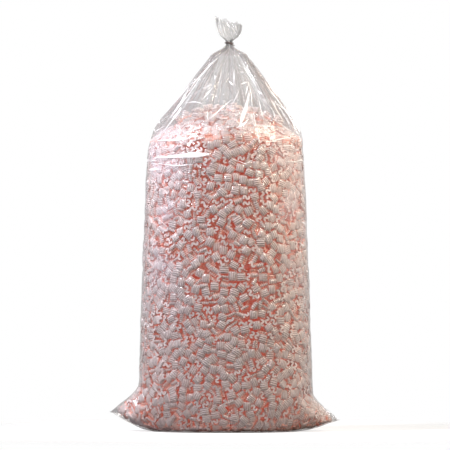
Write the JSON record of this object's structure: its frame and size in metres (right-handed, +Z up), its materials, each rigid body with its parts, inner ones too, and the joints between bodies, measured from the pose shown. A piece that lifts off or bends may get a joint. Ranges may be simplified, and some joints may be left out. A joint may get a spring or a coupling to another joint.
{
  "type": "packing peanut bag",
  "caption": "Tall clear plastic bag of pink loose-fill packing peanuts, standing on its seamed base with its corners out, its pleated top gathered and closed with a wire tie",
  "frame": {"origin": "the middle of the bag's foot, on the floor", "axes": "+Z up along the bag, the longest extent; +X the bag's right seen from the front, along the bottom seam; the front faces -Y"},
  "size_m": [0.8896, 0.6117, 1.5788],
  "materials": {
    "clear_film": "clear thin polythene film with sharp glossy creases",
    "pink_foam": "matt pink expanded polystyrene foam",
    "dark_wire": "dark brown coated tie wire"
  },
  "bodies": {
    "root": {"film_bag": "clear_film", "wire_tie": "dark_wire", "peanut_heap": "pink_foam", "loose_peanut_01": "pink_foam", "loose_peanut_02": "pink_foam", "loose_peanut_03": "pink_foam", "loose_peanut_04": "pink_foam", "loose_peanut_05": "pink_foam", "loose_peanut_06": "pink_foam", "loose_peanut_07": "pink_foam", "loose_peanut_08": "pink_foam", "loose_peanut_09": "pink_foam", "loose_peanut_10": "pink_foam", "loose_peanut_11": "pink_foam", "loose_peanut_12": "pink_foam", "loose_peanut_13": "pink_foam", "loose_peanut_14": "pink_foam", "loose_peanut_15": "pink_foam", "loose_peanut_16": "pink_foam", "loose_peanut_17": "pink_foam", "loose_peanut_18": "pink_foam", "loose_peanut_19": "pink_foam", "loose_peanut_20": "pink_foam", "loose_peanut_21": "pink_foam", "loose_peanut_22": "pink_foam", "loose_peanut_23": "pink_foam", "loose_peanut_24": "pink_foam", "loose_peanut_25": "pink_foam", "loose_peanut_26": "pink_foam", "loose_peanut_27": "pink_foam", "loose_peanut_28": "pink_foam", "loose_peanut_29": "pink_foam", "loose_peanut_30": "pink_foam"}
  },
  "joints": []
}
